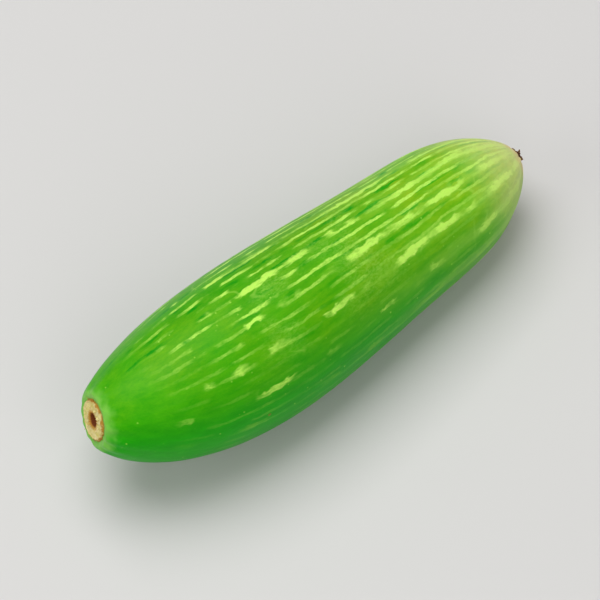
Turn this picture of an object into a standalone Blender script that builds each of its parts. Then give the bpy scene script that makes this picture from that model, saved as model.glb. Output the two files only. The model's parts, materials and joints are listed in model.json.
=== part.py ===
"""Ivy gourd: one picked fruit lying on its side, with the corky stub of its stem and the dry rest of its flower.

Metres, +Z up. +X runs from the stem end to the blossom end. The origin is under the middle of the gourd,
on the surface that the gourd lies on.
"""

import math

import bpy
import numpy as np
from mathutils import Vector

# The fruit, along its straightened axis.
FRUIT_LENGTH = 0.0620
FRUIT_DIAMETER = 0.0186  # at the belly, its fullest section
BELLY_PLACE = 0.0230  # from the stem end
STEM_RIM = 0.0003  # the ring of flesh round the stub's seat
BLOSSOM_RIM = 0.0004  # the ring of flesh round the dry flower's seat
STEM_SHOULDER = 2.3  # a higher power gives a squarer shoulder
STEM_ROUNDNESS = 0.73  # 0.5 is an ellipse, and 1 comes to a corner
BLOSSOM_SHOULDER = 7.0
BLOSSOM_ROUNDNESS = 0.92
THINNING = 0.16  # the share of its width that the fruit loses beyond the belly, before its nose
THINNING_LENGTH = 0.0260

# The bend, as the two ends of a Bezier curve. Both ends turn away from the outside of the bend.
STEM_TURN = math.radians(17)
STEM_TURN_REACH = 0.0140
BLOSSOM_TURN = math.radians(2.5)
BLOSSOM_TURN_REACH = 0.0320
BEND_ROLL = math.radians(29)  # how far the outside of the bend dips, where level is -Y

# What is left of the stem: a corky disc with a hollow heart, set in the stem end.
STUB_DIAMETER = 0.0048
STUB_RISE = 0.0005  # above the fruit's rim
STUB_SEAT_DEPTH = 0.0011
STUB_EDGE = 0.00035
HEART_DIAMETER = 0.0018
HEART_FLOOR_DIAMETER = 0.0011
HEART_DEPTH = 0.0007

# What is left of the flower: a dry, withered point.
REMNANT_DIAMETER = 0.0014
REMNANT_RISE = 0.0008
REMNANT_SEAT_DEPTH = 0.0006
REMNANT_TIP_DIAMETER = 0.0005

GAP = 0.0003  # between a dry piece and the flesh that it sits in
REST_FLAT_DEPTH = 0.0002  # how far the skin flattens where the fruit lies

FRUIT_RINGS = 40
FRUIT_SIDES = 40
DRY_SIDES = 24
SPINE_SEGMENTS = 64
BLOCK_SIZE = 0.1  # the cutter that makes the resting flat
MOST_LEAN = math.radians(15)
LEAN_STEP = math.radians(0.01)

SKIN_GREEN = (0.075, 0.30, 0.020, 1.0)
CORK_TAN = (0.50, 0.33, 0.13, 1.0)
DRY_BROWN = (0.12, 0.05, 0.025, 1.0)


def clear_scene():
    for thing in list(bpy.data.objects):
        bpy.data.objects.remove(thing)


def new_collection(name):
    collection = bpy.data.collections.new(name)
    bpy.context.scene.collection.children.link(collection)
    return collection


def material(name, colour, roughness):
    made = bpy.data.materials.new(name)
    made.use_nodes = True
    shader = made.node_tree.nodes["Principled BSDF"]
    shader.inputs["Base Color"].default_value = colour
    shader.inputs["Roughness"].default_value = roughness
    shader.inputs["Metallic"].default_value = 0.0
    made.diffuse_color = colour
    return made


def seat_radius(dry_diameter):
    return dry_diameter / 2 + GAP


def fruit_radius(place):
    """The fruit's radius at a place along its straightened axis, measured from the stem end."""
    belly = FRUIT_DIAMETER / 2
    if place < BELLY_PLACE:
        away = 1 - place / BELLY_PLACE
        end = seat_radius(STUB_DIAMETER) + STEM_RIM
        return end + (belly - end) * (1 - away**STEM_SHOULDER) ** STEM_ROUNDNESS
    beyond = place - BELLY_PLACE
    slim = 1 - THINNING * (1 - math.cos(math.pi * min(1.0, beyond / THINNING_LENGTH))) / 2
    away = min(1.0, beyond / (FRUIT_LENGTH - BELLY_PLACE))
    end = (seat_radius(REMNANT_DIAMETER) + BLOSSOM_RIM) / (1 - THINNING)
    return slim * (end + (belly - end) * (1 - away**BLOSSOM_SHOULDER) ** BLOSSOM_ROUNDNESS)


def fruit_profile():
    """(place, radius) points. The rings stand closer together towards the rounded ends."""
    turns = [math.pi * ring / FRUIT_RINGS for ring in range(FRUIT_RINGS + 1)]
    places = [FRUIT_LENGTH * (1 - math.cos(turn)) / 2 for turn in turns]
    skin = [(place, fruit_radius(place)) for place in places]
    stem_seat = seat_radius(STUB_DIAMETER)
    stem_end = [(STUB_SEAT_DEPTH, 0), (STUB_SEAT_DEPTH, stem_seat), (0, stem_seat)]
    blossom_seat = seat_radius(REMNANT_DIAMETER)
    floor = FRUIT_LENGTH - REMNANT_SEAT_DEPTH
    blossom_end = [(FRUIT_LENGTH, blossom_seat), (floor, blossom_seat), (floor, 0)]
    return stem_end + skin + blossom_end


def stub_profile():
    radius = STUB_DIAMETER / 2
    return [
        (HEART_DEPTH - STUB_RISE, 0),
        (HEART_DEPTH - STUB_RISE, HEART_FLOOR_DIAMETER / 2),
        (-STUB_RISE, HEART_DIAMETER / 2),
        (-STUB_RISE, radius - STUB_EDGE),
        (STUB_EDGE - STUB_RISE, radius),
        (STUB_SEAT_DEPTH - GAP, radius),
        (STUB_SEAT_DEPTH - GAP, 0),
    ]


def remnant_profile():
    radius = REMNANT_DIAMETER / 2
    inner = FRUIT_LENGTH - REMNANT_SEAT_DEPTH + GAP
    tip = FRUIT_LENGTH + REMNANT_RISE
    return [
        (inner, 0),
        (inner, radius),
        (FRUIT_LENGTH, radius),
        (tip, REMNANT_TIP_DIAMETER / 2),
        (tip, 0),
    ]


def bent_spine(collection):
    """The line that the fruit's axis follows, from end to end in the XY plane."""
    curve = bpy.data.curves.new("spine", "CURVE")
    curve.dimensions = "3D"
    curve.resolution_u = SPINE_SEGMENTS
    spline = curve.splines.new("BEZIER")
    spline.bezier_points.add(1)
    stem, blossom = spline.bezier_points
    stem.co = (0, 0, 0)
    stem_way = Vector((math.cos(STEM_TURN), -math.sin(STEM_TURN), 0)) * STEM_TURN_REACH
    stem.handle_left = stem.co - stem_way
    stem.handle_right = stem.co + stem_way
    blossom.co = (FRUIT_LENGTH, 0, 0)
    blossom_way = Vector((math.cos(BLOSSOM_TURN), math.sin(BLOSSOM_TURN), 0)) * BLOSSOM_TURN_REACH
    blossom.handle_left = blossom.co - blossom_way
    blossom.handle_right = blossom.co + blossom_way
    spine = bpy.data.objects.new("spine", curve)
    spine.hide_render = True
    spine.display_type = "WIRE"
    collection.objects.link(spine)
    return spine


def turned_piece(name, profile, sides, spine, collection, skin):
    """A profile of (place, radius) points turned about the X axis, then bent along the spine."""
    mesh = bpy.data.meshes.new(name)
    points = [(place, 0, radius) for place, radius in profile]
    edges = [(i, i + 1) for i in range(len(points) - 1)]
    mesh.from_pydata(points, edges, [])
    piece = bpy.data.objects.new(name, mesh)
    collection.objects.link(piece)
    piece.data.materials.append(skin)
    turn = piece.modifiers.new("turn", "SCREW")
    turn.axis = "X"
    turn.steps = sides
    turn.render_steps = sides
    turn.use_merge_vertices = True
    turn.merge_threshold = 0.000001
    turn.use_smooth_shade = True
    turn.use_normal_flip = True  # the profiles run away from the stem
    follow = piece.modifiers.new("bend", "CURVE")
    follow.object = spine
    follow.deform_axis = "POS_X"
    return piece


def world_triangles(piece):
    """The corners of the piece's triangles, as an array of (triangle, corner, axis)."""
    bpy.context.view_layer.update()
    solid = piece.evaluated_get(bpy.context.evaluated_depsgraph_get())
    points = np.array([solid.matrix_world @ vertex.co for vertex in solid.data.vertices])
    solid.data.calc_loop_triangles()
    return points[np.array([triangle.vertices[:] for triangle in solid.data.loop_triangles])]


def centre_of_mass(triangles):
    volumes = np.linalg.det(triangles)
    return (triangles.sum(axis=1) * volumes[:, None]).sum(axis=0) / 4 / volumes.sum()


def settling_lean(fruit):
    """How far the fruit leans about +Y, so that it touches down under its centre of mass."""
    triangles = world_triangles(fruit)
    centre = centre_of_mass(triangles)
    reach = triangles.reshape(-1, 3) - centre
    least, most = -MOST_LEAN, MOST_LEAN
    while most - least > LEAN_STEP:
        lean = (least + most) / 2
        along = reach[:, 0] * math.cos(lean) + reach[:, 2] * math.sin(lean)
        height = reach[:, 2] * math.cos(lean) - reach[:, 0] * math.sin(lean)
        if along[height.argmin()] < 0:
            least = lean
        else:
            most = lean
    return most


def lay_down(gourd, pieces):
    """Rolls and leans the gourd and moves it over the origin, with its underside just below z = 0."""
    gourd.rotation_euler = (BEND_ROLL, 0, 0)
    gourd.rotation_euler = (BEND_ROLL, settling_lean(pieces[0]), 0)
    corners = np.concatenate([world_triangles(piece).reshape(-1, 3) for piece in pieces])
    low = corners.min(axis=0)
    middle = (low + corners.max(axis=0)) / 2
    gourd.location = (-middle[0], -middle[1], -low[2] - REST_FLAT_DEPTH)


def flatten_underside(fruit, collection):
    """Takes off what is below z = 0, which leaves the narrow flat that the fruit rests on."""
    bpy.ops.mesh.primitive_cube_add(size=BLOCK_SIZE, location=(0, 0, -BLOCK_SIZE / 2))
    block = bpy.context.object
    block.name = "table_block"
    block.hide_render = True
    block.display_type = "WIRE"
    for owner in list(block.users_collection):
        owner.objects.unlink(block)
    collection.objects.link(block)
    cut = fruit.modifiers.new("rest_flat", "BOOLEAN")
    cut.operation = "DIFFERENCE"
    cut.object = block


def main():
    clear_scene()
    parts = new_collection("ivy_gourd")
    helpers = new_collection("cutters_and_guides")
    spine = bent_spine(helpers)
    green = material("skin", SKIN_GREEN, 0.38)
    tan = material("cork", CORK_TAN, 0.85)
    brown = material("dry_flower", DRY_BROWN, 0.9)
    fruit = turned_piece("fruit", fruit_profile(), FRUIT_SIDES, spine, parts, green)
    stub = turned_piece("stem_stub", stub_profile(), DRY_SIDES, spine, parts, tan)
    remnant = turned_piece("blossom_remnant", remnant_profile(), DRY_SIDES, spine, parts, brown)
    gourd = bpy.data.objects.new("gourd", None)
    parts.objects.link(gourd)
    pieces = [fruit, stub, remnant]
    for piece in pieces + [spine]:
        piece.parent = gourd
    lay_down(gourd, pieces)
    flatten_underside(fruit, helpers)


main()
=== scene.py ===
import json
import math

import bpy
from mathutils import Euler, Matrix, Vector

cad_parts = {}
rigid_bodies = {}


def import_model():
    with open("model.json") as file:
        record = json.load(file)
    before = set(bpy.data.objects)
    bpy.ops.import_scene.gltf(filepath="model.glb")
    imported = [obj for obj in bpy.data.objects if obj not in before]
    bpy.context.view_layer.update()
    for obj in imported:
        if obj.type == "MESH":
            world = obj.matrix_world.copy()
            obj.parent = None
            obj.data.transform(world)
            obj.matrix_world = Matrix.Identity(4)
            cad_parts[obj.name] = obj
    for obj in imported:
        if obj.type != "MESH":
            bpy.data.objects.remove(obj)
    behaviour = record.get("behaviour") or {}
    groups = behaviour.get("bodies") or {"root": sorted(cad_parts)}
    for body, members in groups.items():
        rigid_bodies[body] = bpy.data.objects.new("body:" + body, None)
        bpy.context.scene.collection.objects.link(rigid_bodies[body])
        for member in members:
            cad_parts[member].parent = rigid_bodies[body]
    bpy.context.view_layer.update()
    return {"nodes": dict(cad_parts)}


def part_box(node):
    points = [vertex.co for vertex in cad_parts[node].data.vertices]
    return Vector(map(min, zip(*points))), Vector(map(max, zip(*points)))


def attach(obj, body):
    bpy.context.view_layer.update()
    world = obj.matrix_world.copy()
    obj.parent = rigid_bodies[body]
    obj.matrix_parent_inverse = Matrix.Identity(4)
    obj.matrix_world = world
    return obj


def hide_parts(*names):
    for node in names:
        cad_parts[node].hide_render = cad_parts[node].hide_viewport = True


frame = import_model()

mm = 0.001
bodyName = "root"
seamGap = 0.002 * mm  # points nearer than this are one, which closes seams and poles
print("frame is in:", ", ".join(sorted(frame["nodes"])))

for leftover in [item for item in bpy.data.objects if item.name in ("Cube", "Camera", "Light")]:
    bpy.data.objects.remove(leftover)


class Wire:
    # an output socket that + - * / and ** turn into Math nodes, in a geometry or a shader tree

    def __init__(self, tree, socket):
        self.tree = tree
        self.socket = socket

    def math(self, operation, *others):
        return addNode(self.tree, "ShaderNodeMath", dict(enumerate((self, *others))), operation=operation)

    def __add__(self, other):
        return self.math("ADD", other)

    def __radd__(self, other):
        return self.math("ADD", other)

    def __sub__(self, other):
        return self.math("SUBTRACT", other)

    def __rsub__(self, other):
        return addNode(self.tree, "ShaderNodeMath", {0: other, 1: self}, operation="SUBTRACT")

    def __mul__(self, other):
        return self.math("MULTIPLY", other)

    def __rmul__(self, other):
        return self.math("MULTIPLY", other)

    def __truediv__(self, other):
        return self.math("DIVIDE", other)

    def __rtruediv__(self, other):
        return addNode(self.tree, "ShaderNodeMath", {0: other, 1: self}, operation="DIVIDE")

    def __pow__(self, other):
        return self.math("POWER", other)


def plug(item, target):
    if isinstance(item, Wire):
        item.tree.links.new(item.socket, target)
    else:
        target.default_value = item


def addNode(tree, kind, plugs=None, output=0, **settings):
    made = tree.nodes.new(kind)
    for name, value in settings.items():
        setattr(made, name, value)
    for name, item in (plugs or {}).items():
        plug(item, made.inputs[name])
    return Wire(tree, made.outputs[output])


def socketsOf(wire):
    return {socket.name: Wire(wire.tree, socket) for socket in wire.socket.node.outputs}


def cosine(angle):
    return angle.math("COSINE")


def sine(angle):
    return angle.math("SINE")


def clamp01(value):
    return addNode(value.tree, "ShaderNodeClamp", {"Value": value, "Min": 0.0, "Max": 1.0})


def ramp(value, start, end, low=0.0, high=1.0):
    # goes smoothly from low at start to high at end, and stays level outside them
    plugs = {"Value": value, "From Min": start, "From Max": end, "To Min": low, "To Max": high}
    return addNode(value.tree, "ShaderNodeMapRange", plugs, interpolation_type="SMOOTHSTEP")


def vector(tree, x, y, z):
    return addNode(tree, "ShaderNodeCombineXYZ", {"X": x, "Y": y, "Z": z})


def vectorMath(operation, *items, output=0):
    tree = next(item.tree for item in items if isinstance(item, Wire))
    return addNode(tree, "ShaderNodeVectorMath", dict(enumerate(items)), output, operation=operation)


def scaled(wire, amount):
    return addNode(wire.tree, "ShaderNodeVectorMath", {0: wire, "Scale": amount}, operation="SCALE")


def parted(wire):
    return [Wire(wire.tree, socket) for socket in
            addNode(wire.tree, "ShaderNodeSeparateXYZ", {0: wire}).socket.node.outputs]


def noise(where, scale=1.0, detail=2.0, rough=0.5, seed=0.0):
    # about 0.5 in the middle, and seldom near 0 or 1
    plugs = {"Vector": where, "W": seed, "Scale": scale, "Detail": detail, "Roughness": rough}
    return addNode(where.tree, "ShaderNodeTexNoise", plugs, noise_dimensions="4D")


def newTree(name, kind, inputs, outputs):
    # inputs and outputs are (name, socket type) pairs; gives the tree, its inputs as wires and its end node
    tree = bpy.data.node_groups.new(name, kind)
    for label, socketType in inputs:
        tree.interface.new_socket(label, in_out="INPUT", socket_type=socketType)
    for label, socketType in outputs:
        tree.interface.new_socket(label, in_out="OUTPUT", socket_type=socketType)
    start = tree.nodes.new("NodeGroupInput")
    wires = {label: Wire(tree, start.outputs[label]) for label, _ in inputs}
    return tree, wires, tree.nodes.new("NodeGroupOutput")


def shapeTree(name, sizes):
    # a Geometry Nodes tree with one named input for each size, and for the material and the seed
    kinds = {int: "NodeSocketInt", float: "NodeSocketFloat", Vector: "NodeSocketVector"}
    inputs = [(label, kinds[type(value)]) for label, value in sizes.items()]
    inputs.append(("Finish", "NodeSocketMaterial"))
    tree, wires, end = newTree(name, "GeometryNodeTree", inputs, [("Geometry", "NodeSocketGeometry")])
    tree.is_modifier = True
    return tree, wires, end


def stored(geometry, name, value, kind, domain="POINT"):
    plugs = {"Geometry": geometry, "Name": name, "Value": value}
    return addNode(geometry.tree, "GeometryNodeStoreNamedAttribute", plugs, data_type=kind, domain=domain)


def randomNumber(tree, low, high, seed):
    return addNode(tree, "FunctionNodeRandomValue", {2: low, 3: high, "Seed": seed}, 1)


def randomVector(tree, low, high, seed):
    plugs = {0: low, 1: high, "Seed": seed}
    return addNode(tree, "FunctionNodeRandomValue", plugs, data_type="FLOAT_VECTOR")


def tube(line, radius, sides):
    # a capped tube along a line, whose own radius tapers it
    ring = addNode(line.tree, "GeometryNodeCurvePrimitiveCircle", {"Resolution": sides, "Radius": radius},
                   mode="RADIUS")
    return swept(line, ring)


def swept(line, profile):
    return addNode(line.tree, "GeometryNodeCurveToMesh", {"Curve": line, "Profile Curve": profile,
                                                          "Fill Caps": True})


def straightLine(tree, count):
    # one unit up the Z axis
    line = addNode(tree, "GeometryNodeCurvePrimitiveLine", {"End": (0, 0, 1)})
    return addNode(tree, "GeometryNodeResampleCurve", {"Curve": line, "Count": count})


def circleOf(points, radius):
    return addNode(points.tree, "GeometryNodeMeshCircle", {"Vertices": points, "Radius": radius})


def copiesOn(points, piece, scale, rotation=(0, 0, 0)):
    plugs = {"Points": points, "Instance": piece, "Rotation": rotation, "Scale": scale}
    return addNode(piece.tree, "GeometryNodeInstanceOnPoints", plugs)


def movedBy(geometry, offset):
    return addNode(geometry.tree, "GeometryNodeSetPosition", {"Geometry": geometry, "Offset": offset})


def movedTo(geometry, position):
    return addNode(geometry.tree, "GeometryNodeSetPosition", {"Geometry": geometry, "Position": position})


def lifted(tree, height):
    return vector(tree, 0.0, 0.0, height)


def joinedPieces(*pieces):
    join = addNode(pieces[0].tree, "GeometryNodeJoinGeometry")
    for piece in pieces:
        plug(piece, join.socket.node.inputs["Geometry"])
    return join


def finishTree(geometry, wires, end):
    whole = addNode(geometry.tree, "GeometryNodeRealizeInstances", {"Geometry": geometry})
    smooth = addNode(geometry.tree, "GeometryNodeSetShadeSmooth", {"Geometry": whole})
    coated = addNode(geometry.tree, "GeometryNodeSetMaterial", {"Geometry": smooth,
                                                                "Material": wires["Finish"]})
    plug(coated, end.inputs["Geometry"])


def grown(name, tree, sizes, finish, place):
    # runs the tree with its sizes and keeps the result as a plain mesh, moved to its place
    seedling = bpy.data.objects.new(name + "Seedling", bpy.data.meshes.new(name + "Seedling"))
    bpy.context.scene.collection.objects.link(seedling)
    modifier = seedling.modifiers.new("grow", "NODES")
    modifier.node_group = tree
    sockets = {item.name: item.identifier for item in tree.interface.items_tree if item.in_out == "INPUT"}
    for label, value in sizes.items():
        modifier[sockets[label]] = value
    modifier[sockets["Finish"]] = finish
    graph = bpy.context.evaluated_depsgraph_get()
    mesh = bpy.data.meshes.new_from_object(seedling.evaluated_get(graph), depsgraph=graph)
    bpy.data.objects.remove(seedling)
    mesh.name = name
    mesh.transform(place)
    piece = bpy.data.objects.new(name, mesh)
    bpy.context.scene.collection.objects.link(piece)
    print(name, "has", len(mesh.polygons), "faces")
    return piece


# the fruit, lying along +X from its stem end, before it is laid down
fruit = {
    "Length": 62.0 * mm,
    "Belly Diameter": 18.6 * mm,
    "Belly Place": 23.0 * mm,  # from the stem end, as every place along the fruit
    "Stem Shoulder": 2.3,
    "Stem Roundness": 0.73,
    "Thinning": 0.16,
    "Thinning Length": 26.0 * mm,
    "Blossom Shoulder": 7.0,
    "Blossom Roundness": 0.92,
    "Stem Rim": 3.0 * mm,  # radius of the lip round the stem
    "Stem Dish": 0.95 * mm,  # how deep its middle lies, under the stem's scar
    "Blossom Rim": 1.4 * mm,
    "Blossom Nipple": 0.3 * mm,
    "Stem Handle": Vector(),  # the two Bezier handles of the bend, filled in below
    "Blossom Handle": Vector(),
    "Seam Turn": 0.0,
    "Rib Count": 10.0,
    "Rib Height": 0.055 * mm,
    "Rib Start Height": 0.25,  # what the ribs have near the stem, as a share of their height
    "Ribs Grow From": 0.42,  # where they start to rise and where they are full, as shares of the length
    "Ribs Full At": 0.97,
    "Rib Waver": 3.0,
    "Waver Scale": 0.12 / mm,
    "Dent Size": 13.0 * mm,
    "Dent Height": 0.24 * mm,
    "Pucker Count": 13.0,
    "Pucker Height": 0.10 * mm,
    "Pucker Reach": 1.6 * mm,
    "Pucker Waver": 14.0,
    "Tip Pucker": 0.8,  # as a share of the stem end's
    "Rings": 331,
    "Sides": 281,
    "Spine Points": 96,
    "Seed": 4.0,
}
bend = {
    "stemTurn": math.radians(17),
    "stemReach": 14.0 * mm,
    "blossomTurn": math.radians(2.5),
    "blossomReach": 32.0 * mm,
    "roll": math.radians(29),  # how far the outside of the bend dips
    "restBlend": 0.12 * mm,  # how softly the resting flat runs into the skin
}
stemWay = Vector((math.cos(bend["stemTurn"]), -math.sin(bend["stemTurn"]), 0))
blossomWay = Vector((math.cos(bend["blossomTurn"]), math.sin(bend["blossomTurn"]), 0))
fruit["Stem Handle"] = stemWay * bend["stemReach"]
fruit["Blossom Handle"] = Vector((fruit["Length"], 0, 0)) - blossomWay * bend["blossomReach"]
fruit["Seam Turn"] = -math.pi / 2 - bend["roll"]


def middleOf(node):
    low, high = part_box(node)
    return (Vector(low) + Vector(high)) / 2


def layDown():
    # the lean that takes the fruit's two ends to where the frame has the stub and the dry flower
    stem, tip = middleOf("stem_stub"), middleOf("blossom_remnant")
    lean = math.atan2(stem.z - tip.z, tip.x - stem.x)
    turned = Euler((bend["roll"], lean, 0)).to_matrix().to_4x4()
    middle = (stem + tip) / 2 - turned @ Vector((fruit["Length"] / 2, 0, 0))
    return Matrix.Translation(middle) @ turned


def fruitTree():
    tree, size, end = shapeTree("gourdFruit", fruit)
    grid = addNode(tree, "GeometryNodeMeshGrid", {"Size X": 1.0, "Size Y": 1.0,
                                                  "Vertices X": size["Rings"], "Vertices Y": size["Sides"]})
    flatX, flatY, _ = parted(addNode(tree, "GeometryNodeInputPosition"))
    dishShare, nippleShare = 0.04, 0.02  # the shares of the rings that lie inside the two rims
    lengthwise = flatX + 0.5
    inDish = clamp01(lengthwise / dishShare)
    inNipple = clamp01((1 - lengthwise) / nippleShare)
    share = clamp01((lengthwise - dishShare) / (1 - dishShare - nippleShare))
    along = size["Length"] * (1 - cosine(share * math.pi)) / 2
    turn = (flatY + 0.5) * math.tau + size["Seam Turn"]

    # the outline: a rounded stem end up to the belly, then thinning to the blossom's nose
    belly = size["Belly Diameter"] / 2
    toStem = clamp01(1 - along / size["Belly Place"])
    stemSide = size["Stem Rim"] + (belly - size["Stem Rim"]) * (
        1 - toStem ** size["Stem Shoulder"]) ** size["Stem Roundness"]
    beyond = (along - size["Belly Place"]).math("MAXIMUM", 0.0)
    thinned = (1 - cosine(clamp01(beyond / size["Thinning Length"]) * math.pi)) / 2
    slim = 1 - size["Thinning"] * thinned
    toTip = clamp01(beyond / (size["Length"] - size["Belly Place"]))
    tip = size["Blossom Rim"] / (1 - size["Thinning"])
    blossomSide = slim * (tip + (belly - tip) * (
        1 - toTip ** size["Blossom Shoulder"]).math("MAXIMUM", 0.0) ** size["Blossom Roundness"])
    isStemSide = along.math("LESS_THAN", size["Belly Place"])
    smoothRadius = isStemSide * stemSide + (1 - isStemSide) * blossomSide

    # relief: faint ribs, slow dents, and puckers where the skin gathers at both ends
    place = vector(tree, along, smoothRadius * cosine(turn), smoothRadius * sine(turn))
    waver = noise(place, size["Waver Scale"], seed=size["Seed"]) - 0.5
    risen = ramp(along / size["Length"], size["Ribs Grow From"], size["Ribs Full At"],
                 size["Rib Start Height"], 1.0)
    ribs = cosine(turn * size["Rib Count"] + waver * size["Rib Waver"]) * size["Rib Height"] * risen
    dents = (noise(place, 1 / size["Dent Size"], 1.0, seed=size["Seed"] + 3) - 0.5) * size["Dent Height"]
    nearStem = (along / size["Pucker Reach"] * -1).math("EXPONENT")
    nearTip = ((along - size["Length"]) / size["Pucker Reach"]).math("EXPONENT")
    gathers = cosine(turn * size["Pucker Count"] + waver * size["Pucker Waver"]) * size["Pucker Height"]
    gathers = gathers * (nearStem + nearTip * size["Tip Pucker"])
    rimFade = inDish * inNipple
    radius = (smoothRadius + (ribs + dents + gathers) * rimFade) * rimFade
    dish = size["Stem Dish"] * (1 - inDish * inDish) ** 2.0  # squared, so that it is steepest half-way
    nipple = size["Blossom Nipple"] * (1 - inNipple * inNipple)

    # the same outline, carried along the bent spine
    spine = addNode(tree, "GeometryNodeCurvePrimitiveBezierSegment", {
        "Resolution": size["Spine Points"],
        "Start": (0, 0, 0), "Start Handle": size["Stem Handle"],
        "End": vector(tree, size["Length"], 0.0, 0.0), "End Handle": size["Blossom Handle"]},
        mode="POSITION")
    onSpine = socketsOf(addNode(tree, "GeometryNodeSampleCurve", {"Curves": spine, "Length": along},
                                mode="LENGTH"))
    ahead = vectorMath("NORMALIZE", onSpine["Tangent"])
    aside = vectorMath("CROSS_PRODUCT", (0, 0, 1), ahead)
    spot = vectorMath("ADD", onSpine["Position"], scaled(ahead, dish + nipple))
    spot = vectorMath("ADD", spot, scaled(aside, radius * cosine(turn)))
    spot = vectorMath("ADD", spot, vector(tree, 0.0, 0.0, radius * sine(turn)))
    bent = movedTo(grid, spot)

    # the skin's own map: the turn as its cosine and sine, the share of the length, and the radius,
    # with a flat unrolling of the skin, named OFBake
    lengthShare = along / size["Length"]
    marked = stored(grid, "skinMap", vector(tree, cosine(turn), sine(turn), lengthShare), "FLOAT_VECTOR")
    marked = stored(marked, "girth", smoothRadius * rimFade, "FLOAT")
    unrolling = vector(tree, (lengthwise + lengthShare) / 2, flatY + 0.5, 0.0)
    marked = stored(marked, "OFBake", unrolling, "FLOAT2", "CORNER")
    plug(marked, bent.socket.node.inputs["Geometry"])
    closed = addNode(tree, "GeometryNodeMergeByDistance", {"Geometry": bent, "Distance": seamGap})
    outward = addNode(tree, "GeometryNodeFlipFaces", {"Mesh": closed})
    finishTree(outward, size, end)
    return tree


def flattenUnderside(piece, blend):
    # presses whatever is below the surface up onto it, with a soft edge
    for vertex in piece.data.vertices:
        height = vertex.co.z
        if height < blend:
            vertex.co.z = blend * math.exp(min(0.0, height / blend - 1))
    piece.data.update()


# the stem scar is what is left of the stem, in its dish
scar = {
    "Radius": 2.4 * mm,
    "Rise": 0.10 * mm,  # above the fruit's end
    "Root": 1.1 * mm,  # below it
    "Heart Radius": 0.98 * mm,
    "Heart Floor": 0.45 * mm,
    "Heart Depth": 0.70 * mm,
    "Rim Width": 0.34 * mm,
    "Rim Height": 0.10 * mm,
    "Rim Reach": 0.75,  # how far it spreads from its middle to each side, in rim widths
    "Edge": 0.30 * mm,
    "Edge Drop": 0.8,  # how far the edge falls, as a share of its width
    "Lumpiness": 0.24,
    "Fibre Count": 22.0,
    "Fibre Height": 0.05 * mm,
    "Fibre Waver": 9.0,
    "Rim Fibres": 0.5,  # what is left of the fibres on the rim
    "Fibre Waver Scale": 0.8 / mm,
    "Crumble": 0.18 * mm,
    "Crumble Inside": 0.5,  # the share of it inside the rim, and how much more there is on the rim
    "Crumble On Rim": 1.3,
    "Crumb Scale": 2.2 / mm,
    "Bundles": 9,
    "Bundle Ring": 1.42 * mm,
    "Bundle Radius": 0.15 * mm,
    "Bundle Least": 0.7,  # of that radius
    "Bundle Most": 1.5,
    "Bundle Scatter Low": Vector((-0.16, -0.16, -0.06)) * mm,
    "Bundle Scatter High": Vector((0.16, 0.16, 0.04)) * mm,
    "Frays": 30,
    "Fray Length": 0.42 * mm,
    "Fray Least": 0.35,  # of that length
    "Fray Radius": 0.035 * mm,
    "Fray Root": 1.15,  # its radius at the root, and how much it loses by its tip
    "Fray Taper": 0.85,
    "Fray Curl": 0.55,
    "Fray Sway": 0.12,
    "Fray Lean": Vector((1.2, 1.2, 3.1)),
    "Fray Scatter Low": Vector((-0.10, -0.10, -0.05)) * mm,
    "Fray Scatter High": Vector((0.10, 0.10, 0.06)) * mm,
    "Fray Depth": 0.2 * mm,  # how far its root is sunk
    "Fray Inset": 0.35,  # and how far it is in from the edge, in rim widths
    "Rings": 90,
    "Sides": 150,
    "Seed": 8,
}


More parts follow.
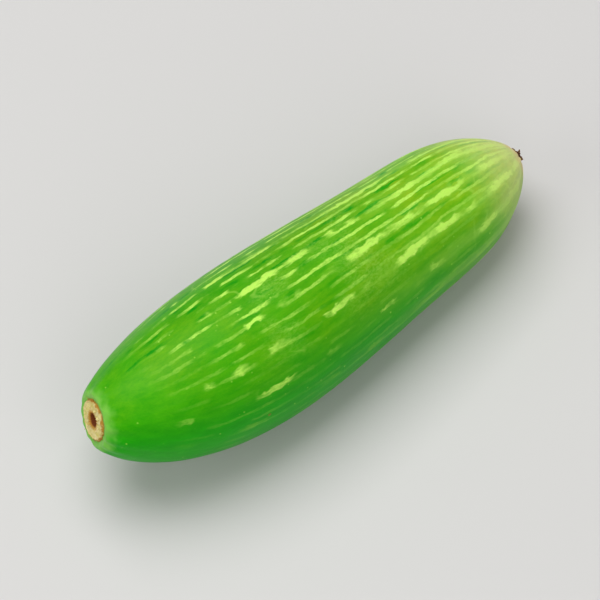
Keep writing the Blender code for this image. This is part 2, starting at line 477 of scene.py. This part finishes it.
def scarTree():
    tree, size, end = shapeTree("stemScar", scar)
    grid = addNode(tree, "GeometryNodeMeshGrid", {"Size X": 1.0, "Size Y": 1.0,
                                                  "Vertices X": size["Rings"], "Vertices Y": size["Sides"]})
    flatX, flatY, _ = parted(addNode(tree, "GeometryNodeInputPosition"))
    out = flatX + 0.5
    turn = (flatY + 0.5) * math.tau
    topShare, wallShare = 0.72, 0.14  # of the rings, the rest lie underneath
    onTop = clamp01(out / topShare)
    onWall = clamp01((out - topShare) / wallShare)
    underneath = clamp01((out - topShare - wallShare) / (1 - topShare - wallShare))
    circle = vector(tree, cosine(turn), sine(turn), size["Seed"])
    lumpy = 1 + (noise(circle, 1.1, 3.0) - 0.5) * size["Lumpiness"]
    radius = size["Radius"] * onTop * (1 - underneath)

    heart = ramp(radius, size["Heart Floor"], size["Heart Radius"], 1.0, 0.0)
    rimMiddle = size["Radius"] - size["Rim Width"] / 2
    fromRim = ((radius - rimMiddle) / size["Rim Width"]).math("ABSOLUTE")
    rim = ramp(fromRim, 0.0, size["Rim Reach"], 1.0, 0.0)
    roundedOff = ramp(radius, size["Radius"] - size["Edge"], size["Radius"])
    fine = vector(tree, radius * cosine(turn), radius * sine(turn), size["Seed"] * mm)
    crumbs = noise(fine, size["Crumb Scale"], 3.0, 0.65) - 0.5
    waver = (noise(fine, size["Fibre Waver Scale"], 1.0) - 0.5) * size["Fibre Waver"]
    fibres = cosine(turn * size["Fibre Count"] + waver)
    top = size["Rise"] - heart * size["Heart Depth"] + rim * size["Rim Height"]
    top = top - roundedOff * size["Edge"] * size["Edge Drop"]
    top = top + fibres * size["Fibre Height"] * (1 - heart) * (1 - rim * size["Rim Fibres"])
    top = top + crumbs * size["Crumble"] * (size["Crumble Inside"] + rim * size["Crumble On Rim"])
    height = top * (1 - onWall) - size["Root"] * onWall
    spread = radius * lumpy
    disc = movedTo(grid, vector(tree, spread * cosine(turn), spread * sine(turn), height))
    disc = addNode(tree, "GeometryNodeMergeByDistance", {"Geometry": disc, "Distance": seamGap / 2})

    # cut ends of the vessels, in a ring round the heart
    ring = circleOf(size["Bundles"], size["Bundle Ring"])
    stump = addNode(tree, "GeometryNodeMeshUVSphere", {"Segments": 14, "Rings": 9,
                                                       "Radius": size["Bundle Radius"]})
    scatter = randomVector(tree, size["Bundle Scatter Low"], size["Bundle Scatter High"], size["Seed"])
    ring = movedBy(ring, vectorMath("ADD", scatter, lifted(tree, size["Rise"])))
    swell = randomNumber(tree, size["Bundle Least"], size["Bundle Most"], size["Seed"] + 1)
    stumps = copiesOn(ring, stump, swell)

    # loose threads round the rim, each curling over as it rises
    up = parted(addNode(tree, "GeometryNodeInputPosition"))[2]
    curl = vector(tree, up * up * size["Fray Curl"], sine(up * 3.0) * size["Fray Sway"], up)
    threadLine = movedTo(straightLine(tree, 7), scaled(curl, size["Fray Length"]))
    threadLine = addNode(tree, "GeometryNodeSetCurveRadius", {
        "Curve": threadLine,
        "Radius": size["Fray Root"] - addNode(tree, "GeometryNodeSplineParameter") * size["Fray Taper"]})
    thread = tube(threadLine, size["Fray Radius"], 6)
    edge = circleOf(size["Frays"], size["Radius"] - size["Rim Width"] * size["Fray Inset"])
    scatter = randomVector(tree, size["Fray Scatter Low"], size["Fray Scatter High"], size["Seed"] + 2)
    edge = movedBy(edge, vectorMath("ADD", scatter, lifted(tree, size["Rise"] - size["Fray Depth"])))
    lean = randomVector(tree, scaled(size["Fray Lean"], -1.0), size["Fray Lean"], size["Seed"] + 3)
    reach = randomNumber(tree, size["Fray Least"], 1.0, size["Seed"] + 4)
    threads = copiesOn(edge, thread, reach, lean)
    finishTree(joinedPieces(disc, stumps, threads), size, end)
    return tree


# the dry flower is the withered crown at the blossom end
dryCrown = {
    "Base Radius": 0.74 * mm,
    "Base Height": 0.42 * mm,
    "Root": 0.60 * mm,  # how deep it goes into the fruit
    "Lobes": 5,
    "Lobe Ring": 0.42 * mm,
    "Lobe Seat": 0.45,  # where the lobes start, as a share of the base's height
    "Lobe Length": 0.44 * mm,
    "Lobe Half Width": 0.27 * mm,
    "Lobe Thinness": 0.3,
    "Lobe Curl": 0.42,
    "Lobe Sway": 0.10,
    "Lobe Least": 0.6,  # of the lobe's length
    "Lobe Most": 1.1,
    "Wilt Least": 0.15,  # how far a lobe leans out, as an angle
    "Wilt Most": 1.25,
    "Twist": 0.5,
    "Style Length": 0.36 * mm,
    "Style Radius": 0.16 * mm,
    "Style Sway": 0.14,
    "Style Seat": 0.7,
    "Crumple": 0.18 * mm,
    "Crumple Scale": 3.0 / mm,
    "Seed": 3,
}


def crownTree():
    tree, size, end = shapeTree("dryCrown", dryCrown)
    spot = addNode(tree, "GeometryNodeInputPosition")
    x, y, z = parted(spot)

    # a low button, which the rest stands on
    button = addNode(tree, "GeometryNodeMeshUVSphere", {"Segments": 40, "Rings": 24, "Radius": 1.0})
    tall = z.math("GREATER_THAN", 0.0)
    button = movedTo(button, vector(tree, x * size["Base Radius"], y * size["Base Radius"],
                                    z * (size["Base Height"] * tall + size["Root"] * (1 - tall))))

    # lobes and the style's stump are tapered tubes, the lobes flattened; each sine is a part of one wave
    line = straightLine(tree, 12)
    share = addNode(tree, "GeometryNodeSplineParameter")
    curl = vector(tree, sine(z * 2.6) * size["Lobe Curl"], sine(z * 4.0) * size["Lobe Sway"], z)
    curled = movedTo(line, scaled(curl, size["Lobe Length"]))
    curled = addNode(tree, "GeometryNodeSetCurveRadius", {
        "Curve": curled, "Radius": sine(share * 2.4 + 0.55) * 0.9 + 0.12})  # widest in the middle
    flat = addNode(tree, "GeometryNodeTransform", {
        "Geometry": addNode(tree, "GeometryNodeCurvePrimitiveCircle", {
            "Resolution": 14, "Radius": size["Lobe Half Width"]}, mode="RADIUS"),
        "Scale": vector(tree, size["Lobe Thinness"], 1.0, 1.0)})
    lobe = swept(curled, flat)
    ring = circleOf(size["Lobes"], size["Lobe Ring"])
    ring = movedBy(ring, lifted(tree, size["Base Height"] * size["Lobe Seat"]))
    outward = y.math("ARCTAN2", x)
    wilt = randomNumber(tree, size["Wilt Least"], size["Wilt Most"], size["Seed"])
    twist = randomNumber(tree, 0 - size["Twist"], size["Twist"], size["Seed"] + 1)
    long = randomNumber(tree, size["Lobe Least"], size["Lobe Most"], size["Seed"] + 2)
    lobes = copiesOn(ring, lobe, long, vector(tree, twist, wilt, outward + twist))
    sway = vector(tree, sine(z * 2.2) * size["Style Sway"], 0.0, z)
    style = movedTo(line, scaled(sway, size["Style Length"]))
    waisted = 1.25 - sine(share * 3.0) * 0.5
    style = addNode(tree, "GeometryNodeSetCurveRadius", {"Curve": style, "Radius": waisted})
    style = tube(style, size["Style Radius"], 12)
    style = movedBy(style, lifted(tree, size["Base Height"] * size["Style Seat"]))
    whole = addNode(tree, "GeometryNodeRealizeInstances", {"Geometry": joinedPieces(button, lobes, style)})

    # the whole crown crumpled
    plugs = {"Vector": spot, "Scale": size["Crumple Scale"], "Detail": 2.0, "W": size["Seed"]}
    crumple = addNode(tree, "ShaderNodeTexNoise", plugs, 1, noise_dimensions="4D")
    crumple = scaled(vectorMath("SUBTRACT", crumple, (0.5, 0.5, 0.5)), size["Crumple"])
    finishTree(movedBy(whole, crumple), size, end)
    return tree


def mixed(share, low, high, way="MIX"):
    tree = next(item.tree for item in (share, low, high) if isinstance(item, Wire))
    return addNode(tree, "ShaderNodeMix", {0: share, 6: low, 7: high}, 2, data_type="RGBA", blend_type=way)


def placeGroup(tree, group, plugs):
    return socketsOf(addNode(tree, "ShaderNodeGroup", plugs, node_tree=group))


def brokenStreaksGroup():
    # rows of pale dashes that run from the stem to the blossom end, and waver as they go
    number, direction = "NodeSocketFloat", "NodeSocketVector"
    labels = ["Row Count", "First Row", "Width", "Dash Length", "Cover At Stem", "Cover At Tip", "Waver",
              "Fray", "Seed"]
    inputs = [("Skin Map", direction), ("On Skin", direction), ("Girth", number)]
    inputs += [(label, number) for label in labels]
    outputs = [("Mask", number), ("Band", number)]
    tree, size, end = newTree("brokenStreaks", "ShaderNodeTree", inputs, outputs)
    slowScale, quickScale, slowShare = 0.16 / mm, 0.95 / mm, 2.2
    frayScale = (2.4 / mm, 2.4 / mm, 0.7 / mm)
    narrowest = 0.02 * mm  # a row's least width, so that nothing is divided by zero at the poles
    rowStride = 17.3  # takes each row's dashes from another part of the noise
    dashStart, dashFull = 0.96, 1.08  # a dash shows where its noise and the cover add up to this
    endFray, bandFray = 0.16, 0.12
    leastWidth = 0.15
    side, rise, share = parted(size["Skin Map"])
    turn = rise.math("ARCTAN2", side)
    slow = noise(size["On Skin"], slowScale, 1.0, seed=size["Seed"]) - 0.5
    quick = noise(size["On Skin"], quickScale, 2.0, seed=size["Seed"] + 7) - 0.5
    rowWidth = size["Girth"] * math.tau / size["Row Count"] + narrowest
    shift = (slow * slowShare + quick) * size["Waver"]
    row = (turn - size["First Row"]) * size["Row Count"] / math.tau + 0.5 + shift / rowWidth
    index = row.math("FLOOR").math("FLOORED_MODULO", size["Row Count"])
    offCentre = ((row.math("FRACT") - 0.5) * rowWidth).math("ABSOLUTE")

    # which stretches of a row show, and how wide and strong each one is
    alongRow = parted(size["On Skin"])[2] / size["Dash Length"]
    onRow = vector(tree, index * rowStride, alongRow, size["Seed"])
    dashes = noise(onRow, 1.0, 2.5, 0.6, seed=size["Seed"] + 11)
    swell = noise(onRow, 2.2, 1.0, seed=size["Seed"] + 13)
    fray = noise(vectorMath("MULTIPLY", size["On Skin"], frayScale), 1.0, 2.0, seed=size["Seed"] + 17) - 0.5
    cover = size["Cover At Stem"] + (size["Cover At Tip"] - size["Cover At Stem"]) * share
    shown = ramp(dashes + fray * endFray + cover, dashStart, dashFull)
    strength = ramp(noise(onRow, 1.3, 0.0, seed=size["Seed"] + 19), 0.3, 0.6, 0.35, 1.0)
    half = size["Width"] * (leastWidth + swell * (1 - leastWidth))
    edge = offCentre + fray * size["Fray"] * size["Width"]
    plug(shown * strength * ramp(edge / half, 0.5, 1.05, 1.0, 0.0), end.inputs["Mask"])
    plug(ramp(offCentre / rowWidth + fray * bandFray, 0.06, 0.4, 1.0, 0.0), end.inputs["Band"])
    return tree


# lengths in metres, colours linear
skinLook = {
    "stemGreen": (0.060, 0.360, 0.002, 1),
    "bellyGreen": (0.092, 0.380, 0.003, 1),
    "tipGreen": (0.225, 0.505, 0.010, 1),
    # painted shade: the deeper green given to the side away from the top light
    "paintedShadeGreen": (0.001, 0.325, 0.0, 1),
    "streak": (0.500, 0.860, 0.115, 1),
    "tipCream": (0.800, 0.850, 0.300, 1),
    "tipBlush": (0.860, 0.560, 0.300, 1),
    "halo": (0.240, 0.560, 0.090, 1),
    "paintedSheen": (0.340, 0.660, 0.100, 1),  # painted sheen: pale patches standing for the soft reflection of the top light on the skin
    "scab": (0.260, 0.150, 0.035, 1),
    "litSideTurn": math.radians(52),  # the side that faces up towards the top light, as a turn round the fruit; the side away from it is painted in shade
    "streakTurn": math.radians(10),  # and the side with the most streaks
    "roughness": 0.42,
    "cloudRoughness": 0.25,
    "streakRoughness": 0.08,
    "scabRoughness": 0.3,
    "gloss": 0.21,
    # painted reflection: the gloss is tinted green to stand for green surroundings mirrored in the skin
    "greenReflectionTint": (0.80, 1.0, 0.40, 1),
    "fleshWeight": 0.12,  # how much light goes through the skin and comes back out of the flesh
    "fleshColours": (0.5, 1.0, 0.25),
    "fleshDepth": 1.2 * mm,
    "scales": {  # how fine each pattern is; those with three numbers are stretched along the fruit
        "grain": (1.3 / mm, 1.3 / mm, 0.22 / mm),
        "pile": (5 / mm, 5 / mm, 2.4 / mm),
        "clouds": 0.2 / mm,
        "warmth": 0.13 / mm,
        "paintedSheen": 0.16 / mm,
        "hooks": 0.5 / mm,
        "hookPatches": 0.21 / mm,
        "dots": 0.85 / mm,
        "dotPatches": 0.6 / mm,
        "scabs": 0.17 / mm,
        "scabPatches": 0.1 / mm,
        "tip": 0.8 / mm,
        "halo": 0.7 / mm,
        "pores": 3.2 / mm,
    },
    "zones": {  # where each colour or mark starts and where it is full, as shares of the length
        "belly": (0.0, 0.5),
        "tip": (0.45, 1.0),
        "thinnerShade": (0.5, 1.0),
        "band": (0.4, 0.95),
        "paintedSheenStart": (0.22, 0.38),
        "paintedSheenEnd": (0.72, 0.55),
        "fineStreaks": (0.04, 0.24),
        "mainStreaks": (0.05, 0.2),
        "cream": (0.8, 0.93),
        "blush": (0.9, 0.95),
        "halo": (0.2, 0.1),
    },
    "sides": {  # the same round the fruit, where 1 faces the side in question and -1 faces away from it
        # painted shade, strongest on the side away from the top light
        "shade": (0.78, -0.08, 0.0, 1.0),
        "sunny": (-0.1, 0.55, 0.15, 1.0),
        "paintedSheen": (0.3, 0.8, 0.0, 1.0),
        "cream": (-0.4, 0.5, 0.45, 1.0),
        "streaky": (-0.3, 0.8, 0.12, 1.0),
    },
    "strengths": {
        "shade": 0.95,
        "warmth": 1.6,
        "clouds": 0.6,
        "grain": 2.0,
        "pile": 0.6,
        "lines": 0.9,
        "band": 0.22,
        "hooks": 0.22,
        "dots": 0.4,
        "blush": 0.75,
        "halo": 0.7,
        "scabs": 0.7,
    },
    "limits": {  # the values of a noise between which each mark fades in
        "paintedSheen": (0.46, 0.62),
        "hooks": (0.008, 0.045, 1.0, 0.0),
        "hookPatches": (0.68, 0.78),
        "dots": (0.13, 0.05),
        "dotPatches": (0.45, 0.6),
        "scabs": (0.055, 0.03),
        "scabPatches": (0.56, 0.6),
    },
    "cover": {  # how milky each pale mark is; the pile mottles it
        "fineStreaks": 0.92,
        "mainStreaks": 1.08,
        "paintedSheen": 0.13,
        "mottle": 1.6,
        "paintedSheenMottle": 1.0,
    },
    "heights": {  # how far each stands up
        "grain": 0.05 * mm,
        "pores": 0.012 * mm,
        "streaks": 0.02 * mm,
        "scabs": 0.05 * mm,
    },
    "girths": {  # where the colours at the ends start and where they are full, as the fruit's radius there
        "blush": (3.6 * mm, 1.2 * mm),
        "halo": (4.3 * mm, 2.9 * mm),
    },
    "creamReach": 5.2 * mm,
}
mainStreaks = {
    "Row Count": 15.0,
    "First Row": math.radians(6),
    "Width": 0.74 * mm,
    "Dash Length": 5.5 * mm,
    "Cover At Stem": 0.40,
    "Cover At Tip": 0.58,
    "Waver": 0.70 * mm,
    "Fray": 1.15,
    "Seed": 10.0,
}
fineStreaks = {
    "Row Count": 44.0,
    "First Row": 0.1,
    "Width": 0.40 * mm,
    "Dash Length": 5.0 * mm,
    "Cover At Stem": 0.49,
    "Cover At Tip": 0.62,
    "Waver": 0.35 * mm,
    "Fray": 0.9,
    "Seed": 23.0,
}
darkLines = {
    "Row Count": 34.0,
    "First Row": 0.0,
    "Width": 0.45 * mm,
    "Dash Length": 5.0 * mm,
    "Cover At Stem": 0.44,
    "Cover At Tip": 0.60,
    "Waver": 0.50 * mm,
    "Fray": 0.8,
    "Seed": 37.0,
}


def skinNoise(spot, name, detail=2.0, rough=0.5, seed=0.0):
    scale = skinLook["scales"][name]
    if isinstance(scale, tuple):
        return noise(vectorMath("MULTIPLY", spot, scale), 1.0, detail, rough, seed)
    return noise(spot, scale, detail, rough, seed)


def skinCells(spot, name):
    # the distance to the nearest of the points strewn over the skin, as a share of their spacing
    plugs = {"Vector": spot, "Scale": skinLook["scales"][name]}
    return addNode(spot.tree, "ShaderNodeTexVoronoi", plugs)


def facing(side, rise, turn):
    # 1 where the skin faces that turn round the fruit, and -1 on the other side
    return side * math.cos(turn) + rise * math.sin(turn)


def skinMaterial():
    material = bpy.data.materials.new("gourdSkin")
    material.use_nodes = True
    tree = material.node_tree
    skinMap = addNode(tree, "ShaderNodeAttribute", output=1, attribute_name="skinMap")
    girth = addNode(tree, "ShaderNodeAttribute", output=2, attribute_name="girth")
    side, rise, share = parted(skinMap)
    spot = vector(tree, side * girth, rise * girth, share * fruit["Length"])  # the fruit without its bend
    zone = {name: ramp(share, *ends) for name, ends in skinLook["zones"].items()}
    strength, limit = skinLook["strengths"], skinLook["limits"]
    cover, tall = skinLook["cover"], skinLook["heights"]
    # 1 on the side that faces the top light and -1 on the side in painted shade
    sun = facing(side, rise, skinLook["litSideTurn"])
    lit = {name: ramp(sun, *skinLook["sides"][name]) for name in ("shade", "sunny", "paintedSheen", "cream")}
    streaky = ramp(facing(side, rise, skinLook["streakTurn"]), *skinLook["sides"]["streaky"])
    group = brokenStreaksGroup()
    where = {"Skin Map": skinMap, "On Skin": spot, "Girth": girth}
    streaks = placeGroup(tree, group, where | mainStreaks)
    streaklets = placeGroup(tree, group, where | fineStreaks)["Mask"]
    lines = placeGroup(tree, group, where | darkLines)["Mask"]

    # base colour: greener at the stem, yellower at the blossom end, and painted shade: a deeper green on
    # the side away from the top light
    colour = mixed(zone["belly"], skinLook["stemGreen"], skinLook["bellyGreen"])
    colour = mixed(zone["tip"], colour, skinLook["tipGreen"])
    # painted shade: deeper green away from the top light, thinning towards the blossom end
    shade = lit["shade"] * (1 - zone["thinnerShade"] * 0.45)
    colour = mixed(shade * strength["shade"], colour, skinLook["paintedShadeGreen"])

    # the skin's own unevenness: slow clouds, long grain, a fine pile and dark lines
    clouds = skinNoise(spot, "clouds", 3.0, seed=41.0)
    grain = skinNoise(spot, "grain", 3.0, 0.65, seed=43.0)
    pile = skinNoise(spot, "pile", 2.0, 0.6, seed=45.0)
    warmth = 1 + (skinNoise(spot, "warmth", seed=47.0) - 0.5) * strength["warmth"]
    lightness = 1 + (clouds - 0.5) * strength["clouds"] + (grain - 0.5) * strength["grain"]
    lightness = lightness + (pile - 0.5) * strength["pile"] - lines * streaky * strength["lines"]
    tint = vector(tree, lightness * warmth, lightness * 0.25 + 0.75, lightness)
    colour = mixed(1.0, colour, tint, "MULTIPLY")

    # pale marks and painted sheen: a band along each row, a pale patch of painted sheen on the lit side,
    # fine streaks, hooks, and the main streaks on top
    colour = mixed(streaks["Band"] * zone["band"] * strength["band"], colour, skinLook["streak"])
    # painted sheen: a pale patch on the side facing the top light, mottled by the pile
    paintedSheen = ramp(skinNoise(spot, "paintedSheen", seed=49.0), *limit["paintedSheen"]) * lit["paintedSheen"]
    paintedSheen = paintedSheen * zone["paintedSheenStart"] * zone["paintedSheenEnd"]
    paintedSheen = clamp01(paintedSheen * (cover["paintedSheen"] + (pile - 0.5) * cover["paintedSheenMottle"]))
    colour = mixed(paintedSheen, colour, skinLook["paintedSheen"])
    mottle = (pile - 0.5) * cover["mottle"]
    fineMask = streaklets * streaky * zone["fineStreaks"] * (mottle + cover["fineStreaks"])
    colour = mixed(clamp01(fineMask), colour, skinLook["streak"])
    squashed = vectorMath("MULTIPLY", spot, (1, 1, 0.55))
    fromMiddle = (skinNoise(squashed, "hooks", 0.0, seed=31.0) - 0.5).math("ABSOLUTE")
    hooks = ramp(fromMiddle, *limit["hooks"])  # thin lines where slow noise crosses its middle
    hooks = hooks * ramp(skinNoise(spot, "hookPatches", seed=33.0) + share * 0.25, *limit["hookPatches"])
    colour = mixed(hooks * lit["sunny"] * strength["hooks"], colour, skinLook["streak"])
    mainMask = streaks["Mask"] * lit["sunny"] * zone["mainStreaks"] * (mottle + cover["mainStreaks"])
    colour = mixed(clamp01(mainMask), colour, skinLook["streak"])

    # pinprick breathing pores, each a pale dot
    dots = ramp(skinCells(spot, "dots"), *limit["dots"])
    dots = dots * ramp(skinNoise(spot, "dotPatches", 1.0, seed=63.0), *limit["dotPatches"])
    colour = mixed(dots * strength["dots"], colour, skinLook["streak"])

    # cream and blush round the blossom end, and a pale halo round the stem
    tipNoise = skinNoise(spot, "tip", seed=51.0)
    cream = (girth / skinLook["creamReach"] * -1).math("EXPONENT") * zone["cream"] * lit["cream"]
    colour = mixed(clamp01(cream * (0.85 + tipNoise * 0.9)), colour, skinLook["tipCream"])
    blush = ramp(girth + (tipNoise - 0.5) * 2.0 * mm, *skinLook["girths"]["blush"]) * zone["blush"]
    colour = mixed(blush * strength["blush"], colour, skinLook["tipBlush"])
    ragged = girth + (skinNoise(spot, "halo", seed=53.0) - 0.5) * 2.4 * mm
    halo = ramp(ragged, *skinLook["girths"]["halo"]) * zone["halo"]
    colour = mixed(halo * strength["halo"], colour, skinLook["halo"])

    # a few small brown scabs
    scabs = ramp(skinCells(spot, "scabs") + (grain - 0.5) * 0.03, *limit["scabs"])
    scabs = scabs * ramp(skinNoise(spot, "scabPatches", 0.0, seed=61.0), *limit["scabPatches"])
    colour = mixed(scabs * strength["scabs"], colour, skinLook["scab"])

    shader = tree.nodes["Principled BSDF"]
    plug(colour, shader.inputs["Base Color"])
    rough = skinLook["roughness"] + (clouds - 0.5) * skinLook["cloudRoughness"]
    rough = rough + streaks["Mask"] * skinLook["streakRoughness"] + scabs * skinLook["scabRoughness"]
    plug(rough, shader.inputs["Roughness"])
    height = (grain - 0.5) * tall["grain"] + (skinCells(spot, "pores") - 0.5) * tall["pores"]
    height = height + streaks["Mask"] * tall["streaks"] + scabs * tall["scabs"]
    plug(addNode(tree, "ShaderNodeBump", {"Height": height, "Strength": 0.6, "Distance": 1.0}),
         shader.inputs["Normal"])
    shader.inputs["Specular IOR Level"].default_value = skinLook["gloss"]
    # painted reflection: a green tint on the gloss, standing for green surroundings
    shader.inputs["Specular Tint"].default_value = skinLook["greenReflectionTint"]
    shader.inputs["Subsurface Weight"].default_value = skinLook["fleshWeight"]
    shader.inputs["Subsurface Radius"].default_value = skinLook["fleshColours"]
    shader.inputs["Subsurface Scale"].default_value = skinLook["fleshDepth"]
    print("skin material has", len(tree.nodes), "nodes")
    return material


def dryTissueGroup():
    # dead plant tissue: a mottle of a light and a dark colour, and the height of its crumbs
    tree, size, end = newTree("dryTissue", "ShaderNodeTree", [
        ("Where", "NodeSocketVector"), ("Light", "NodeSocketColor"), ("Dark", "NodeSocketColor"),
        ("Grain", "NodeSocketFloat"), ("Darkness", "NodeSocketFloat"), ("Seed", "NodeSocketFloat")],
        [("Colour", "NodeSocketColor"), ("Height", "NodeSocketFloat")])
    crumbsPerGrain, crumbHeight = 5, 0.12
    coarseContrast, crumbContrast = 2.2, 1.1
    coarse = noise(scaled(size["Where"], 1 / size["Grain"]), 1.0, 3.0, 0.6, seed=size["Seed"])
    crumbs = scaled(size["Where"], crumbsPerGrain / size["Grain"])
    crumbs = noise(crumbs, 1.0, 2.0, 0.6, seed=size["Seed"] + 5)
    share = size["Darkness"] + (coarse - 0.5) * coarseContrast + (crumbs - 0.5) * crumbContrast
    plug(mixed(clamp01(share), size["Light"], size["Dark"]), end.inputs["Colour"])
    plug((crumbs - 0.5) * size["Grain"] * crumbHeight, end.inputs["Height"])
    return tree


dryTissue = dryTissueGroup()
scarLook = {
    "cream": (0.560, 0.500, 0.100, 1),
    "pale": (0.740, 0.630, 0.310, 1),
    "rust": (0.460, 0.230, 0.030, 1),
    "heart": (0.160, 0.034, 0.003, 1),
    "rim": (0.300, 0.130, 0.014, 1),
    "rimZone": (2.10 * mm, 2.35 * mm),  # the radii at which a colour starts and is full
    "rustZone": (1.35 * mm, 0.85 * mm),
    "heartZone": (1.30 * mm, 1.00 * mm),
    "heartDepths": (0.05 * mm, -0.15 * mm),  # the same along the axis
    "grain": 0.70 * mm,
    "mottleScale": 1.6 / mm,
    "rayLength": 1.2 * mm,
    "rayTurns": 3,
    "roughness": 0.72,
    "gloss": 0.3,
}
crownLook = {
    "straw": (0.380, 0.200, 0.070, 1),
    "brown": (0.060, 0.020, 0.006, 1),
    "brownShare": 0.72,
    "grain": 0.45 * mm,
    "roughness": 0.8,
    "gloss": 0.3,
}


def finishShader(material, colour, height, look):
    tree = material.node_tree
    shader = tree.nodes["Principled BSDF"]
    plug(colour, shader.inputs["Base Color"])
    plug(addNode(tree, "ShaderNodeBump", {"Height": height, "Strength": 0.7, "Distance": 1.0}),
         shader.inputs["Normal"])
    shader.inputs["Roughness"].default_value = look["roughness"]
    shader.inputs["Specular IOR Level"].default_value = look["gloss"]


def scarMaterial(place):
    # the pattern is laid out round the scar's own axis
    material = bpy.data.materials.new("stemScar")
    material.use_nodes = True
    tree = material.node_tree
    spot = addNode(tree, "ShaderNodeTexCoord", output=3)
    away = vectorMath("SUBTRACT", spot, tuple(place.translation))
    sideways, upward, outward = [vectorMath("DOT_PRODUCT", away, tuple(axis), output=1)
                                 for axis in place.to_3x3().col]
    radius = (sideways * sideways + upward * upward).math("SQRT")
    mottle = noise(spot, scarLook["mottleScale"], 2.0, seed=71.0) - 0.5
    turn = upward.math("ARCTAN2", sideways)
    rays = vector(tree, cosine(turn) * scarLook["rayTurns"], sine(turn) * scarLook["rayTurns"],
                  radius / scarLook["rayLength"])
    rays = noise(rays, 1.6, 2.0, 0.6, seed=73.0)
    tissue = {"Where": spot, "Grain": scarLook["grain"], "Seed": 1.0}
    body = placeGroup(tree, dryTissue, tissue | {
        "Light": scarLook["pale"], "Dark": scarLook["cream"], "Darkness": rays * 1.6 - 0.4})
    edge = placeGroup(tree, dryTissue, tissue | {
        "Light": scarLook["rust"], "Dark": scarLook["rim"], "Darkness": 0.45})
    onRim = ramp(radius + mottle * 0.7 * mm, *scarLook["rimZone"])
    rusty = ramp(radius + mottle * 0.6 * mm, *scarLook["rustZone"])
    inHeart = ramp(outward + mottle * 0.3 * mm, *scarLook["heartDepths"])
    inHeart = inHeart * ramp(radius, *scarLook["heartZone"])
    colour = mixed(onRim, body["Colour"], edge["Colour"])
    colour = mixed(rusty, colour, scarLook["rust"])
    colour = mixed(inHeart, colour, scarLook["heart"])
    finishShader(material, colour, body["Height"], scarLook)
    return material


def crownMaterial():
    material = bpy.data.materials.new("dryFlower")
    material.use_nodes = True
    tree = material.node_tree
    spot = addNode(tree, "ShaderNodeTexCoord", output=3)
    tissue = placeGroup(tree, dryTissue, {
        "Where": spot, "Grain": crownLook["grain"], "Seed": 9.0, "Light": crownLook["straw"],
        "Dark": crownLook["brown"], "Darkness": crownLook["brownShare"]})
    finishShader(material, tissue["Colour"], tissue["Height"], crownLook)
    return material


def endPlace(point, outward):
    # a frame at one of the fruit's ends, with its Z axis pointing away from the fruit
    turned = outward.to_track_quat("Z", "Y").to_matrix().to_4x4()
    return fruitPlace @ Matrix.Translation(point) @ turned


crownRaise = 0.6  # the dry flower stands this share of the way up the blossom's nipple
fruitPlace = layDown()
skin = grown("fruit_skin", fruitTree(), fruit, skinMaterial(), fruitPlace)
flattenUnderside(skin, bend["restBlend"])
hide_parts("fruit")
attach(skin, bodyName)

scarPlace = endPlace(Vector(), -stemWay)
stemScar = grown("stem_scar", scarTree(), scar, scarMaterial(scarPlace), scarPlace)
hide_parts("stem_stub")
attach(stemScar, bodyName)

crownPlace = endPlace(Vector((fruit["Length"] + fruit["Blossom Nipple"] * crownRaise, 0, 0)), blossomWay)
dryFlower = grown("dry_flower", crownTree(), dryCrown, crownMaterial(), crownPlace)
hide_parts("blossom_remnant")
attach(dryFlower, bodyName)
print("the gourd is laid down, its skin pressed flat where it rests")

studio = {
    "floorReach": 3.0,
    "floorColour": (0.62, 0.61, 0.60, 1),
    "floorRoughness": 0.75,
    "cameraTurn": math.radians(-40.2),
    "cameraHeight": math.radians(55),  # as an angle
    "cameraDistance": 0.60,
    "cameraLens": 322.0,
    "aim": Vector((-1.4, 1.2, 9)) * mm,
    "roomColour": (0.94, 0.95, 0.95, 1),
    "roomStrength": 0.20,
}
lights = {
    # name: (direction from the gourd, distance, side of the square, watts, whether it glints)
    "topSoftbox": ((-0.05, 0.25, 0.96), 0.62, 0.55, 3.4, True),
    "frontFill": ((-0.30, -0.75, 0.60), 0.70, 0.60, 1.9, False),
    "leftFill": ((-0.90, 0.05, 0.42), 0.70, 0.45, 1.2, False),
}


def studioFloor():
    reach = studio["floorReach"]
    mesh = bpy.data.meshes.new("studioFloor")
    corners = [(-reach, -reach, 0), (reach, -reach, 0), (reach, reach, 0), (-reach, reach, 0)]
    mesh.from_pydata(corners, [], [(0, 1, 2, 3)])
    floor = bpy.data.objects.new("studioFloor", mesh)
    bpy.context.scene.collection.objects.link(floor)
    material = bpy.data.materials.new("paleFloor")
    material.use_nodes = True
    shader = material.node_tree.nodes["Principled BSDF"]
    shader.inputs["Base Color"].default_value = studio["floorColour"]
    shader.inputs["Roughness"].default_value = studio["floorRoughness"]
    mesh.materials.append(material)


def pointAt(item, away, distance):
    item.location = studio["aim"] + Vector(away).normalized() * distance
    item.rotation_euler = Vector(away).to_track_quat("Z", "Y").to_euler()
    bpy.context.scene.collection.objects.link(item)


def studioCamera():
    flat = math.cos(studio["cameraHeight"])
    away = (math.sin(studio["cameraTurn"]) * flat, -math.cos(studio["cameraTurn"]) * flat,
            math.sin(studio["cameraHeight"]))
    lens = bpy.data.cameras.new("camera")
    lens.lens = studio["cameraLens"]
    viewer = bpy.data.objects.new("camera", lens)
    pointAt(viewer, away, studio["cameraDistance"])
    bpy.context.scene.camera = viewer


def studioLights():
    for name, (away, distance, side, watts, glints) in lights.items():
        lamp = bpy.data.lights.new(name, "AREA")
        lamp.size = side
        lamp.energy = watts
        holder = bpy.data.objects.new(name, lamp)
        holder.visible_glossy = glints
        pointAt(holder, away, distance)
    room = bpy.data.worlds.new("paleRoom")
    room.use_nodes = True
    sky = room.node_tree.nodes["Background"]
    sky.inputs["Color"].default_value = studio["roomColour"]
    sky.inputs["Strength"].default_value = studio["roomStrength"]
    bpy.context.scene.world = room


studioFloor()
studioCamera()
studioLights()
bpy.context.scene.view_settings.view_transform = "Standard"
print("studio has its floor, camera and", len(lights), "lights")
